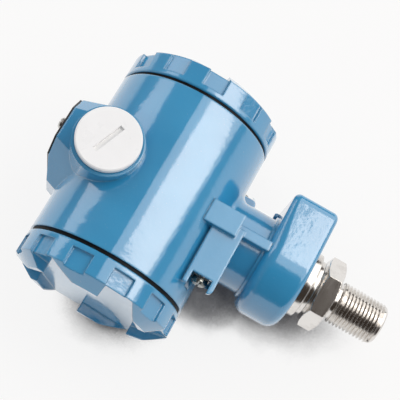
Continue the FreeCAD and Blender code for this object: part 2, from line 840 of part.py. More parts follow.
def top_plate():
    owner = body("PlateBody")
    margin = "$plate_margin"
    outer = outline(owner, "PlateOutline", [
        (f"-$block_half_width + {margin}", "-$block_shoulder"),
        (f"-$plate_nose", f"-$ramp_start + {margin}"),
        ("$plate_nose", f"-$ramp_start + {margin}"),
        (f"$block_half_width - {margin}", "-$block_shoulder"),
        (f"$block_half_width - {margin}", "$block_rear - $block_corner"),
        ("$block_half_width - $block_corner", f"$block_rear - {margin}"),
        ("-$block_half_width + $block_corner", f"$block_rear - {margin}"),
        (f"-$block_half_width + {margin}", "$block_rear - $block_corner"),
    ], lift=block_high)
    pad(owner, "PlateSheet", outer, "$plate_thickness")
    for side, across_place in plate_screw_places():
        hole = ring_sketch(owner, f"PlateHole{side}", "$screw_radius + $plate_hole_clearance",
                           lift=f"{block_high} + $plate_thickness", across=across_place,
                           up="$plate_screw_offset")
        pocket(owner, f"PlateDrilled{side}", hole, "$plate_thickness")
    node(owner, "top_plate")
    seat = f"{block_high} + $plate_thickness"
    node(together("PlateScrews", [pan_screw(f"Plate{side}", plain_screw, x=across_place,
                                            y="$plate_screw_offset", z=seat)
                                  for side, across_place in plate_screw_places()]), "plate_screws")


def ground_fittings():
    # The square clamp washer sits on the channel's floor and the screw's head on the washer.
    clamp = box("ClampSheet", "$ground_clamp_width", "$ground_clamp_thickness", "$ground_clamp_width",
                x=f"{ground_screw_across} - $ground_clamp_width / 2",
                y=f"{ground_seat} - $ground_clamp_thickness",
                z=f"{ground_screw_level} - $ground_clamp_width / 2")
    bore = along_barrel("ClampBore", "$ground_screw_radius + $plate_hole_clearance",
                        f"{ground_seat} - $ground_clamp_thickness", ground_seat,
                        x=ground_screw_across, z=ground_screw_level)
    washer = cut("Clamp", clamp, bore)
    node(together("Clamps", [washer, half_turned("Clamp", washer)]), "ground_clamps")
    screw = pan_screw("Ground", ground_screw, x=ground_screw_across,
                      y=f"{ground_seat} - $ground_clamp_thickness", z=ground_screw_level,
                      axis=(1, 0, 0), angle="90")
    node(together("GroundScrews", [screw, half_turned("GroundScrew", screw)]), "ground_screws")


def terminal_places():
    return [(number, f"({number} - ($terminal_count - 1) / 2) * $terminal_pitch")
            for number in range(sizes["terminal_count"])]


def terminal_block():
    low = "$barrel_height - $terminal_low"
    core = centred_box("TerminalCore", "$terminal_width - 4 * $screw_head_radius - 1", "$terminal_depth",
                       "$terminal_height", y="$partition_front - $terminal_depth / 2", z=low)
    ears = centred_box("TerminalEars", "$terminal_width", "$ear_thickness", "$terminal_height",
                       y="$partition_front - $ear_thickness / 2", z=low)
    middle = f"{low} + $terminal_height / 2"
    front = "$partition_front - $terminal_depth"
    floor = f"{front} + $terminal_recess"
    cuts = []
    screws = []
    for number, across_place in terminal_places():
        cuts.append(centred_box(f"TerminalRecess{number}", "$terminal_pitch - 4", "$terminal_recess",
                                "$terminal_height", x=across_place, y=f"{front} + $terminal_recess / 2",
                                z=f"{low} + 4"))
        cuts.append(along_barrel(f"TerminalHole{number}", "$screw_radius + $screw_clearance", floor,
                                 f"{floor} + $screw_length", x=across_place, z=middle))
        screws.append(pan_screw(f"Terminal{number}", plain_screw, x=across_place, y=floor, z=middle,
                                axis=(1, 0, 0), angle="90"))
    fixings = []
    for side, across_place in terminal_ear_places():
        cuts.append(along_barrel(f"EarHole{side}", "$screw_radius + $plate_hole_clearance", ear_front,
                                 "$partition_front", x=across_place, z=middle))
        fixings.append(pan_screw(f"Ear{side}", plain_screw, x=across_place, y=ear_front, z=middle,
                                 axis=(1, 0, 0), angle="90"))
    block = cut("TerminalBlock", fuse("TerminalBlank", [core, ears]), fuse("TerminalCuts", cuts))
    node(block, "terminal_block")
    node(together("TerminalScrews", screws), "terminal_screws")
    node(together("TerminalBlockScrews", fixings), "terminal_block_screws")


def terminal_ear_places():
    reach = "($terminal_width / 2 - $screw_head_radius - 0.1)"
    return [("Right", reach), ("Left", f"-{reach}")]


def standoff_places():
    return [(number, *polar("$standoff_circle", f"({number} * 120 + 90) * 1deg"))
            for number in range(3)]


def electronics():
    board = along_barrel("BoardDisc", "$board_radius", board_front, board_rear)
    holes = []
    standoffs = []
    screws = []
    for number, x, up in standoff_places():
        level = f"$barrel_height + {up}"
        holes.append(along_barrel(f"BoardHole{number}", "$screw_radius + $plate_hole_clearance", board_front,
                                  board_rear, x=x, z=level))
        post = along_barrel(f"StandoffPost{number}", "$standoff_radius", partition_rear, board_front,
                            x=x, z=level)
        tail = along_barrel(f"StandoffTail{number}", "$screw_radius", f"{partition_rear} - $ear_thickness",
                            partition_rear, x=x, z=level)
        bore = along_barrel(f"StandoffBore{number}", "$screw_radius + $screw_clearance",
                            f"{board_front} - $screw_length", board_front, x=x, z=level)
        standoffs.append(cut(f"Standoff{number}", fuse(f"StandoffBlank{number}", [post, tail]), bore))
        screws.append(pan_screw(f"Board{number}", plain_screw, x=x, y=board_rear, z=level,
                                axis=(1, 0, 0), angle="-90"))
    node(cut("Board", board, fuse("BoardHoles", holes)), "electronics_board")
    node(together("Standoffs", standoffs), "board_standoffs")
    node(together("BoardScrews", screws), "board_screws")
    chip = centred_box("Processor", "$chip_width", "$chip_height", "$chip_width", x="-$component_offset",
                       y=f"{board_rear} + $chip_height / 2", z="$barrel_height")
    coil = along_barrel("Coil", "$coil_radius", board_rear, f"{board_rear} + $coil_height",
                        x="$component_offset", z="$barrel_height + $coil_radius")
    buffers = [along_barrel(f"Capacitor{side}", "$capacitor_radius", board_rear,
                            f"{board_rear} + $capacitor_height", x=x, z="$barrel_height - $component_offset")
               for side, x in (("Right", "$capacitor_radius + 1"), ("Left", "-$capacitor_radius - 1"))]
    node(together("Components", [chip, coil, *buffers]), "board_components")
    socket = centred_box("Connector", "$connector_width", "$connector_depth", "$connector_height",
                         y=f"{board_front} - $connector_depth / 2", z=lead_top)
    node(socket, "sensor_connector")
    lead = cylinder("LeadRun", "$lead_radius", f"{lead_length} + 4",
                    y=f"$lead_offset - 2 * tan({lead_tilt})", z=f"{capsule_top} - 2",
                    axis=(1, 0, 0), angle=f"-{lead_tilt}")
    span = centred_box("LeadSpan", "$drum_radius * 2", "$drum_radius * 2", f"{lead_top} - {capsule_top}",
                       z=capsule_top)
    node(common("LeadSleeve", [lead, span]), "lead_sleeve")


def feedthrough():
    barrel = along_barrel("FeedthroughBarrel", "$feedthrough_radius", "$partition_front", partition_rear,
                          z=feedthrough_level)
    flange = along_barrel("FeedthroughFlange", "$feedthrough_flange_radius",
                          "$partition_front - $feedthrough_flange_height", "$partition_front",
                          z=feedthrough_level)
    front = "$partition_front - $feedthrough_flange_height"
    bores = []
    pins = []
    for number in range(3):
        x, up = polar("$pin_circle", f"({number} * 120 - 90) * 1deg")
        level = f"{feedthrough_level} + {up}"
        bores.append(along_barrel(f"PinBore{number}", "$pin_radius + $screw_clearance", front, partition_rear,
                                  x=x, z=level))
        pins.append(along_barrel(f"Pin{number}", "$pin_radius", f"{front} - $pin_reach",
                                 f"{partition_rear} + $pin_reach", x=x, z=level))
    glass = fuse("FeedthroughBlank", [barrel, flange])
    node(cut("Feedthrough", glass, fuse("PinBores", bores)), "feedthrough")
    node(together("Pins", pins), "feedthrough_pins")


def inner_ground():
    screw = pan_screw("InnerGround", plain_screw, y="$partition_front - $pad_height",
                      z="$barrel_height - $inner_ground_drop", axis=(1, 0, 0), angle="90")
    node(screw, "inner_ground_screw")


def housing_lock():
    node(pan_screw("Lock", lock_screw, x="$lock_screw_across", y="$lock_screw_along", z=drum_high,
                   axis=(0, 0, 1), angle="90"), "lock_screw")


def finish():
    document.recompute()
    for item in document.Objects:
        if {"Invalid", "Error"} & set(item.State):
            raise ValueError(f"{item.Name}: {item.State}")
    os.makedirs("parts", exist_ok=True)
    for item in nodes:
        if item.Shape.isNull() or not item.Shape.isValid():
            raise ValueError(item.Label)
        item.Shape.exportStep(f"parts/{item.Label}.step")
        print(item.Label, round(item.Shape.Volume, 1))


process_fitting()
sensor()
covers()
conduit_plug("Right", "1", "90")
conduit_plug("Left", "-1", "-90")
housing()
top_plate()
ground_fittings()
terminal_block()
electronics()
feedthrough()
inner_ground()
housing_lock()
finish()
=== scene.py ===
import bpy
import bmesh
import math
from mathutils import Matrix, Vector


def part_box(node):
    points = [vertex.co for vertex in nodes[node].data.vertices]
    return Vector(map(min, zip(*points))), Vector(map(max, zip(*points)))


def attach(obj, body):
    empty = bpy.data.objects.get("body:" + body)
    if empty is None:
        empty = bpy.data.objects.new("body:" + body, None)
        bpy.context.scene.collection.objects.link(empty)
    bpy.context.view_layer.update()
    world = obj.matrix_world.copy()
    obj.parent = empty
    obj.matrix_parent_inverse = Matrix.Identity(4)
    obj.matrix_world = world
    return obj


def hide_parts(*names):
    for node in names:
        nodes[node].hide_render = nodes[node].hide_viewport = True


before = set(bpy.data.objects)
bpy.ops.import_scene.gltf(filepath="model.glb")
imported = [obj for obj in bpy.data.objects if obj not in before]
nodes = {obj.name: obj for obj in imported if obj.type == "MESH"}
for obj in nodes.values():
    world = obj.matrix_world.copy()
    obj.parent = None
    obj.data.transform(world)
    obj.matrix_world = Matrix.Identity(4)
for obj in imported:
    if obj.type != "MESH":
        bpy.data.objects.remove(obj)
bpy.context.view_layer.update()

scene = bpy.context.scene
print("frame loaded:", len(nodes), "nodes")


def middleOf(name):
    low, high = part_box(name)
    return (low + high) / 2


# Lengths are in metres, and angles in degrees.
barrelCentre = Vector((0, 0, middleOf("front_cover").z))
entryLevel = middleOf("right_conduit_plug").z


# The camera looks down on the transmitter as it lies on its left side, rolled to suit.
camera = {
    "lens": 90,  # mm
    "sensor": 36,  # mm
    "clip": (0.01, 50),
    "place": (0.4590, -0.1388, 0.1011),
    "azimuth": 71.93,
    "elevation": -0.36,
    "roll": 60.42,
}


def placeCamera(c):
    a, e, r = (math.radians(c[k]) for k in ("azimuth", "elevation", "roll"))
    back = Vector((math.sin(a) * math.cos(e), -math.cos(a) * math.cos(e), math.sin(e)))
    levelRight = Vector((math.cos(a), math.sin(a), 0))
    levelUp = back.cross(levelRight)
    right = levelRight * math.cos(r) - levelUp * math.sin(r)
    up = levelRight * math.sin(r) + levelUp * math.cos(r)
    lens = bpy.data.cameras.new("studioCamera")
    lens.lens = c["lens"]
    lens.sensor_width = c["sensor"]
    lens.clip_start, lens.clip_end = c["clip"]
    item = bpy.data.objects.new("studioCamera", lens)
    scene.collection.objects.link(item)
    turned = Matrix((right, up, back)).transposed().to_4x4()
    item.matrix_world = Matrix.Translation(Vector(c["place"])) @ turned
    scene.camera = item


placeCamera(camera)
print("camera placed")


noiseSpread = (0.3, 0.7)  # where nearly all values of a noise lie
bevelSamples = 6
weldDistance = 1e-7


class NodeWork:
    # Short calls for the shader nodes of one tree.
    def __init__(self, tree):
        self.tree = tree
        self.column = 0
        tree.nodes.clear()

    def add(self, kind, **settings):
        item = self.tree.nodes.new(kind)
        item.location = (-220 * self.column, 0)
        self.column += 1
        for key, value in settings.items():
            setattr(item, key, value)
        return item

    def put(self, socket, value):
        if hasattr(value, "is_output"):
            self.tree.links.new(value, socket)
        else:
            socket.default_value = value

    def maths(self, kind, first, second=0.0):
        item = self.add("ShaderNodeMath", operation=kind)
        for socket, value in zip(item.inputs, (first, second)):
            self.put(socket, value)
        return item.outputs[0]

    def mixed(self, share, first, second):
        item = self.add("ShaderNodeMix", data_type="RGBA")
        self.put(item.inputs[0], share)
        for socket, value in ((item.inputs[6], first), (item.inputs[7], second)):
            self.put(socket, (*value, 1) if isinstance(value, tuple) else value)
        return item.outputs[2]

    def span(self, value, low, high, toLow=0.0, toHigh=1.0):
        item = self.add("ShaderNodeMapRange")
        self.put(item.inputs["Value"], value)
        for socket, number in zip(item.inputs[1:5], (low, high, toLow, toHigh)):
            socket.default_value = number
        return item.outputs[0]

    def softSpan(self, value, low, high):
        share = self.span(value, low, high)
        share.node.interpolation_type = "SMOOTHSTEP"
        return share

    def dot(self, first, second):
        item = self.add("ShaderNodeVectorMath", operation="DOT_PRODUCT")
        self.put(item.inputs[0], first)
        self.put(item.inputs[1], second)
        return item.outputs["Value"]


class Finish(NodeWork):
    # A material with one Principled shader.
    def __init__(self, name):
        self.material = bpy.data.materials.new(name)
        self.material.use_nodes = True
        super().__init__(self.material.node_tree)
        self.output = self.add("ShaderNodeOutputMaterial")
        self.shader = self.add("ShaderNodeBsdfPrincipled")
        self.put(self.output.inputs["Surface"], self.shader.outputs[0])
        self.place = self.add("ShaderNodeTexCoord").outputs["Object"]

    def set(self, values):
        for socket, value in values.items():
            self.put(self.shader.inputs[socket], value)

    def scaled(self, factors):
        item = self.add("ShaderNodeMapping")
        self.put(item.inputs["Vector"], self.place)
        item.inputs["Scale"].default_value = factors
        return item.outputs[0]

    def noise(self, scale, detail=2.0, rough=0.5, place=None):
        item = self.add("ShaderNodeTexNoise")
        self.put(item.inputs["Vector"], place or self.place)
        item.inputs["Scale"].default_value = scale
        item.inputs["Detail"].default_value = detail
        item.inputs["Roughness"].default_value = rough
        return item.outputs["Fac"]

    def uneven(self, scale, low, high, detail=2.0):
        # A value that wanders between low and high.
        return self.span(self.noise(scale, detail), *noiseSpread, low, high)

    def parts(self):
        item = self.add("ShaderNodeSeparateXYZ")
        self.put(item.inputs[0], self.place)
        return item.outputs

    def reach(self, across, up, level):
        # How far a point lies from an axis at this level.
        rise = self.maths("SUBTRACT", up, level)
        squares = [self.maths("MULTIPLY", value, value) for value in (across, rise)]
        return self.maths("SQRT", self.maths("ADD", *squares))

    def bump(self, height, strength, distance, normal=None):
        item = self.add("ShaderNodeBump")
        self.put(item.inputs["Height"], height)
        item.inputs["Strength"].default_value = strength
        item.inputs["Distance"].default_value = distance
        if normal:
            self.put(item.inputs["Normal"], normal)
        return item.outputs[0]

    def softEdges(self, radius):
        item = self.add("ShaderNodeBevel", samples=bevelSamples)
        item.inputs["Radius"].default_value = radius
        return item.outputs[0]

    def edgeMask(self, softNormal, low, high):
        # High where the softened normal leaves the true one, so on edges.
        trueNormal = self.add("ShaderNodeNewGeometry").outputs["Normal"]
        return self.span(self.maths("SUBTRACT", 1.0, self.dot(softNormal, trueNormal)), low, high)


paint = {
    "colour": (0.036, 0.290, 0.53),
    "deepColour": (0.028, 0.250, 0.47),
    "cloudScale": 24,
    "cloudRange": (0.35, 0.65),
    # Painted highlight: edges lighten towards this colour, by this share, over this span of the
    # edge mask.
    "edgeHighlightColour": (0.07, 0.30, 0.50),
    "edgeHighlightShare": 0.45,
    "edgeHighlightRange": (0.02, 0.25),
    "edgeRadius": 0.0011,
    "speckColour": (0.16, 0.36, 0.52),
    "speckShare": 0.5,
    "speckScale": 1300,
    "speckRange": (0.73, 0.78),
    "glossScale": 90,
    "roughness": (0.13, 0.22),
    "peelScale": 420,
    "peelStrength": 0.10,
    "peelHeight": 0.0004,
    "castingWaves": ((40, 0.26), (130, 0.05)),  # scale and strength
    "waveHeight": 0.0008,
    "shader": {"IOR": 1.55, "Coat Weight": 1.0, "Coat Roughness": 0.07, "Coat IOR": 1.72},
}
# Bare machined aluminium where covers and plugs screw in. Each edge says where it turns to paint.
bareMetal = {
    "colour": (0.48, 0.48, 0.49),
    "paleColour": (0.60, 0.60, 0.61),
    "grainScale": 700,
    "grainRange": (0.4, 0.6),
    "metallic": 0.9,
    "addedRoughness": 0.22,
    "seatEdge": (0.0362, 0.0365),  # from the barrel's axis
    "entryEdge": (0.0093, 0.0095),  # from the conduit entries' axis
    "flangeInset": 0.0005,
    "flangeEdge": 0.0002,
}


def paintedCasting(name, bareMask=None):
    # Glossy powder coat with a painted highlight along its edges, and bare metal where bareMask
    # says.
    f = Finish(name)
    p, m = paint, bareMetal
    cloud = f.span(f.noise(p["cloudScale"], 3), *p["cloudRange"])
    colour = f.mixed(cloud, p["deepColour"], p["colour"])
    soft = f.softEdges(p["edgeRadius"])
    # Lightens the edges, a painted highlight along them.
    paintedEdgeHighlight = f.maths("MULTIPLY", f.edgeMask(soft, *p["edgeHighlightRange"]), p["edgeHighlightShare"])
    colour = f.mixed(paintedEdgeHighlight, colour, p["edgeHighlightColour"])
    specks = f.span(f.noise(p["speckScale"], 1), *p["speckRange"])
    colour = f.mixed(f.maths("MULTIPLY", specks, p["speckShare"]), colour, p["speckColour"])
    rough = f.uneven(p["glossScale"], *p["roughness"], detail=3)
    if bareMask:
        bare = bareMask(f)
        grain = f.span(f.noise(m["grainScale"], 2), *m["grainRange"])
        colour = f.mixed(bare, colour, f.mixed(grain, m["colour"], m["paleColour"]))
        rough = f.maths("ADD", rough, f.maths("MULTIPLY", bare, m["addedRoughness"]))
        f.set({"Metallic": f.maths("MULTIPLY", bare, m["metallic"])})
    normal = f.bump(f.noise(p["peelScale"]), p["peelStrength"], p["peelHeight"], soft)
    for scale, strength in p["castingWaves"]:
        normal = f.bump(f.noise(scale), strength, p["waveHeight"], normal)
    f.set({"Base Color": colour, "Roughness": rough, "Normal": normal, "Coat Normal": normal})
    f.set(p["shader"])
    return f


def insideHousing(f):
    x, y, z = f.parts()
    seat = f.span(f.reach(x, z, barrelCentre.z), *bareMetal["seatEdge"], 1.0, 0.0)
    entry = f.span(f.reach(y, z, entryLevel), *bareMetal["entryEdge"], 1.0, 0.0)
    return f.maths("MAXIMUM", seat, entry)


def insideCover(f):
    x, y, z = f.parts()
    flange = abs(middleOf("front_cover_seal").y) + bareMetal["flangeInset"]
    depth = f.maths("SUBTRACT", flange, f.maths("ABSOLUTE", y))
    behind = f.span(depth, 0.0, bareMetal["flangeEdge"])
    seat = f.span(f.reach(x, z, barrelCentre.z), *bareMetal["seatEdge"], 1.0, 0.0)
    return f.maths("MULTIPLY", behind, seat)


plug = {
    "colour": (0.93, 0.93, 0.92),
    "shadeColour": (0.89, 0.89, 0.88),
    "cloudScale": 60,
    "glossScale": 180,
    "roughness": (0.26, 0.38),
    "grainScale": 700,
    "grainStrength": 0.06,
    "grainHeight": 0.0002,
    "edgeRadius": 0.0004,
    "threadPitch": 0.0015,
    "threadHeight": 0.0012,
    "shankEdge": (0.0094, 0.0096),  # from the conduit entries' axis
    "headEdge": (0.0428, 0.0430),  # from the middle of the barrel
    "ior": 1.48,
}


def threadWave(f, along, across, up, level, pitch):
    # A helical wave round an axis at this level, for a thread that only a bump has to show.
    angle = f.maths("ARCTAN2", f.maths("SUBTRACT", up, level), across)
    turn = f.maths("MULTIPLY", angle, 1 / (2 * math.pi))
    step = f.maths("FRACT", f.maths("ADD", f.maths("MULTIPLY", along, 1 / pitch), turn))
    return f.maths("PINGPONG", step, 0.5)


def plugFinish(name):
    # A smooth white head, with the thread on the shank behind it.
    f = Finish(name)
    p = plug
    x, y, z = f.parts()
    shank = f.span(f.reach(y, z, entryLevel), *p["shankEdge"], 1.0, 0.0)
    behind = f.span(f.maths("ABSOLUTE", x), *p["headEdge"], 1.0, 0.0)
    wave = threadWave(f, x, y, z, entryLevel, p["threadPitch"])
    wave = f.maths("MULTIPLY", wave, f.maths("MULTIPLY", shank, behind))
    thread = f.bump(wave, 1.0, p["threadHeight"], f.softEdges(p["edgeRadius"]))
    cloud = f.uneven(p["cloudScale"], 0.0, 1.0, 3)
    f.set({
        "Base Color": f.mixed(cloud, p["colour"], p["shadeColour"]),
        "Roughness": f.uneven(p["glossScale"], *p["roughness"], 3),
        "Normal": f.bump(f.noise(p["grainScale"]), p["grainStrength"], p["grainHeight"], thread),
        "IOR": p["ior"],
    })
    return f


plate = {
    "colour": (0.018, 0.022, 0.026),
    # Painted highlight: the plate's edges are lighter.
    "edgeHighlightColour": (0.09, 0.10, 0.11),
    "edgeHighlightRange": (0.05, 0.3),
    "edgeRadius": 0.0003,
    "brushScale": 300,
    "brushStretch": (0.08, 1, 1),
    "brushStrength": 0.12,
    "brushHeight": 0.0002,
    "roughness": (0.32, 0.46),
    "ior": 1.5,
}


def plateFinish(name):
    f = Finish(name)
    p = plate
    brushed = f.noise(p["brushScale"], place=f.scaled(p["brushStretch"]))
    soft = f.softEdges(p["edgeRadius"])
    f.set({
        # The edge mask paints a lighter highlight along the plate's edges.
        "Base Color": f.mixed(f.edgeMask(soft, *p["edgeHighlightRange"]), p["colour"], p["edgeHighlightColour"]),
        "Roughness": f.span(brushed, *noiseSpread, *p["roughness"]),
        "Normal": f.bump(brushed, p["brushStrength"], p["brushHeight"], soft),
        "IOR": p["ior"],
    })
    return f


steel = {
    "colour": (0.80, 0.775, 0.745),
    "darkColour": (0.66, 0.63, 0.60),
    "stainScale": 160,
    "stainDetail": 4,
    "stainRange": (0.45, 0.75),
    "stainGloss": (0.4, 0.7, 0.0, 0.06),  # from and to in the stain, and the roughness it adds
    "roughness": (0.10, 0.19),
    "markStretch": (0.04, 0.04, 1),
    "markDetail": 3,
    "markRange": (0.35, 0.65),
    "detailShare": 0.6,
    "markStrength": 0.05,
    "markHeight": 0.0001,
    # The scale of the tool marks on each, and the radius of its softened edges
    "fittingSteel": (2600, 0.00025),
    "threadSteel": (3600, 0.00012),
    "sensorSteel": (1800, 0.0003),
}


def turnedSteel(name):
    # Turned about the process axis, so its tool marks run round it.
    f = Finish(name)
    s = steel
    lines, edgeRadius = s[name]
    marks = f.noise(lines, s["markDetail"], s["detailShare"], f.scaled(s["markStretch"]))
    stain = f.noise(s["stainScale"], s["stainDetail"], s["detailShare"])
    f.set({
        "Base Color": f.mixed(f.span(stain, *s["stainRange"]), s["colour"], s["darkColour"]),
        "Metallic": 1.0,
        "Roughness": f.maths("ADD", f.span(marks, *s["markRange"], *s["roughness"]),
                             f.span(stain, *s["stainGloss"])),
        "Normal": f.bump(marks, s["markStrength"], s["markHeight"], f.softEdges(edgeRadius)),
    })
    return f


board = {
    "lacquerColour": (0.012, 0.12, 0.045),
    "paleLacquer": (0.018, 0.16, 0.06),
    "lacquerScale": 40,
    "trackColour": (0.05, 0.26, 0.10),
    "trackScale": 120,
    "trackWidth": 0.03,
    "padColour": (0.62, 0.60, 0.55),
    "padScale": 330,
    "padEdge": (0.10, 0.13),
    "padMetallic": 0.8,
    "padStrength": 0.2,
    "padHeight": 0.0002,
    "glossScale": 200,
    "roughness": (0.24, 0.34),
    "ior": 1.5,
}


def boardFinish(name):
    # Green lacquer over a pattern of copper tracks, with small pads.
    f = Finish(name)
    b = board
    tracks = f.add("ShaderNodeTexBrick")
    f.put(tracks.inputs["Vector"], f.place)
    tracks.inputs["Scale"].default_value = b["trackScale"]
    tracks.inputs["Mortar Size"].default_value = b["trackWidth"]
    cells = f.add("ShaderNodeTexVoronoi")
    f.put(cells.inputs["Vector"], f.place)
    cells.inputs["Scale"].default_value = b["padScale"]
    pads = f.span(cells.outputs["Distance"], *b["padEdge"], 1.0, 0.0)
    lacquer = f.mixed(f.uneven(b["lacquerScale"], 0.0, 1.0), b["lacquerColour"], b["paleLacquer"])
    colour = f.mixed(tracks.outputs["Fac"], lacquer, b["trackColour"])
    f.set({
        "Base Color": f.mixed(pads, colour, b["padColour"]),
        "Metallic": f.maths("MULTIPLY", pads, b["padMetallic"]),
        "Roughness": f.uneven(b["glossScale"], *b["roughness"]),
        "Normal": f.bump(pads, b["padStrength"], b["padHeight"]),
        "IOR": b["ior"],
    })
    return f


# Finishes with a clouded colour, an uneven gloss and a fine grain over softened edges.
screwTexture = {
    "cloud": (500, 0.3, 0.7),  # scale, and the values where it starts and ends
    "gloss": (900, 0.18, 0.32),  # scale, and the least and most roughness
    "grain": (1500, 0.08, 0.0001),  # scale, strength and height
    "edgeRadius": 0.0003,
    "shader": {"Metallic": 1.0},
}
plasticTexture = {
    "cloud": (220, 0.3, 0.7),
    "grain": (1400, 0.15, 0.0001),
    "edgeRadius": 0.0003,
    "shader": {"IOR": 1.48},
}
grainedFinishes = {
    "sealRubber": {
        "colours": ((0.004, 0.005, 0.006), (0.012, 0.013, 0.014)),
        "cloud": (300, 0.5, 0.75),
        "gloss": (160, 0.42, 0.60),
        "grain": (900, 0.15, 0.0002),
        "edgeRadius": 0.0004,
        "shader": {"IOR": 1.4, "Specular IOR Level": 0.2},
    },
    "screwSteel": {"colours": ((0.70, 0.69, 0.67), (0.55, 0.54, 0.52)), **screwTexture},
    "dullSteel": {"colours": ((0.30, 0.31, 0.29), (0.20, 0.21, 0.20)), **screwTexture},
    "terminalPlastic": {"colours": ((0.03, 0.03, 0.032), (0.045, 0.045, 0.047)),
                        "gloss": (600, 0.39, 0.51), **plasticTexture},
    "componentPlastic": {"colours": ((0.015, 0.015, 0.016), (0.03, 0.03, 0.03)),
                         "gloss": (600, 0.32, 0.44), **plasticTexture},
    "plainBrass": {
        "colours": ((0.72, 0.55, 0.25), (0.60, 0.44, 0.19)),
        "cloud": (400, 0.3, 0.7),
        "gloss": (700, 0.20, 0.34),
        "grain": (1200, 0.08, 0.0001),
        "edgeRadius": 0.0002,
        "shader": {"Metallic": 1.0},
    },
}


def grainedFinish(name):
    f = Finish(name)
    c = grainedFinishes[name]
    cloudScale, cloudLow, cloudHigh = c["cloud"]
    grainScale, strength, height = c["grain"]
    cloud = f.span(f.noise(cloudScale, 3), cloudLow, cloudHigh)
    f.set({
        "Base Color": f.mixed(cloud, *c["colours"]),
        "Roughness": f.uneven(*c["gloss"]),
        "Normal": f.bump(f.noise(grainScale), strength, height, f.softEdges(c["edgeRadius"])),
    })
    f.set(c["shader"])
    return f


nodeFinishes = {
    paintedCasting("housingPaint", insideHousing): ["housing"],
    paintedCasting("coverPaint", insideCover): ["front_cover", "rear_cover"],
    paintedCasting("screwPaint"): ["lock_screw"],
    plugFinish("plugWhite"): ["right_conduit_plug", "left_conduit_plug"],
    plateFinish("plateSheet"): ["top_plate"],
    turnedSteel("sensorSteel"): ["sensor_capsule", "sensor_retaining_ring"],
    boardFinish("boardLacquer"): ["electronics_board"],
    grainedFinish("sealRubber"): ["front_cover_seal", "rear_cover_seal", "sensor_seal",
                                  "right_plug_washer", "left_plug_washer", "lead_sleeve"],
    grainedFinish("screwSteel"): ["plate_screws", "terminal_screws", "terminal_block_screws",
                                  "board_screws", "inner_ground_screw"],
    grainedFinish("dullSteel"): ["ground_screws", "ground_clamps"],
    grainedFinish("terminalPlastic"): ["terminal_block", "feedthrough"],
    grainedFinish("componentPlastic"): ["board_components", "sensor_connector"],
    grainedFinish("plainBrass"): ["feedthrough_pins", "board_standoffs"],
}
for finish, names in nodeFinishes.items():
    for name in names:
        slots = nodes[name].data.materials
        for place in range(len(slots)):
            slots[place] = finish.material
print("finishes laid on the frame")


# The process fitting from its tip: the taper thread, then the hexagon and the two rings.
fitting = {
    "threadLength": 0.0234,
    "pitch": 0.001814,
    "tipRadius": 0.0103,
    "topRadius": 0.0107,
    "threadDepth": 0.00142,
    # The ridge's outline: a share of the pitch, and a share of the depth
    "ridge": ((0.0, 0.0), (0.06, 0.0), (0.44, 1.0), (0.56, 1.0), (0.94, 0.0)),
    "spareTurns": 3,  # half of them before the tip, so that the helix is cut level at both ends
    "fadePitches": 1.2,  # the thread gets shallower over so many, next to the undercut
    "fadeShare": 0.65,
    "plainTip": 0.0022,
    "plainTipDepth": 0.0005,
    "tipChamfer": 0.0015,
    "portRadius": 0.0035,
    "portDepth": 0.020,
    "portChamfer": 0.0005,
    "undercutRadius": 0.009,
    "undercutSlope": 0.0006,
    "undercutShare": 0.65,  # of the thread's depth, where the undercut begins
    "undercutTop": 0.0267,
    "hexFlats": 0.032,
    "hexTop": 0.0355,
    "hexReach": 0.0195,  # the chamfer's cone ends outside the corners
    "hexChamferRadius": 0.0157,
    "hexChamferHeight": 0.0016,
    "hexChamferSteps": 6,
    "hexTurn": 13,
    "grooveRadius": 0.0124,
    "grooveTop": 0.0364,
    "hexOverlap": 0.0005,  # the hexagon's top reaches so far into the groove
    "smallRingRadius": 0.014,
    "smallRingTop": 0.0391,
    "largeRingRadius": 0.0165,
    "largeRingTop": 0.0435,
    "ringRound": 0.0006,
    "roundSteps": 4,
    "around": 144,
    "hexAround": 720,
    "centreHole": 0.0001,
}


def fittingPiece(name, shape, finish, smoothAngle=35):
    vertices, faces = shape
    mesh = bpy.data.meshes.new(name)
    mesh.from_pydata(vertices, [], faces)
    mesh.validate()
    work = bmesh.new()
    work.from_mesh(mesh)
    bmesh.ops.remove_doubles(work, verts=work.verts, dist=weldDistance)
    bmesh.ops.recalc_face_normals(work, faces=work.faces)
    work.to_mesh(mesh)
    work.free()
    mesh.shade_smooth()
    mesh.set_sharp_from_angle(angle=math.radians(smoothAngle))
    mesh.materials.append(finish.material)
    piece = bpy.data.objects.new(name, mesh)
    scene.collection.objects.link(piece)
    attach(piece, "housing")
    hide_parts("process_fitting")


def lathed(profile, count, radiusLimit=None):
    # Turns (radius, height) points about the process axis; radiusLimit trims them to a hexagon.
    vertices, faces = [], []
    for radius, height in profile:
        for k in range(count):
            angle = 2 * math.pi * k / count
            reach = min(radius, radiusLimit(angle)) if radiusLimit else radius
            vertices.append((reach * math.cos(angle), reach * math.sin(angle), height))
    for row in range(len(profile) - 1):
        for k in range(count):
            a, b = row * count + k, row * count + (k + 1) % count
            faces.append((a, b, b + count, a + count))
    return vertices, faces


def ringProfile(radius, low, high, rounding, steps):
    # A plain ring with rounded rims.
    points = []
    for k in range(steps + 1):
        turn = math.pi / 2 * k / steps
        points.append((radius - rounding + rounding * math.sin(turn),
                       low + rounding - rounding * math.cos(turn)))
    for k in range(steps + 1):
        turn = math.pi / 2 * k / steps
        points.append((radius - rounding + rounding * math.cos(turn),
                       high - rounding + rounding * math.sin(turn)))
    return points


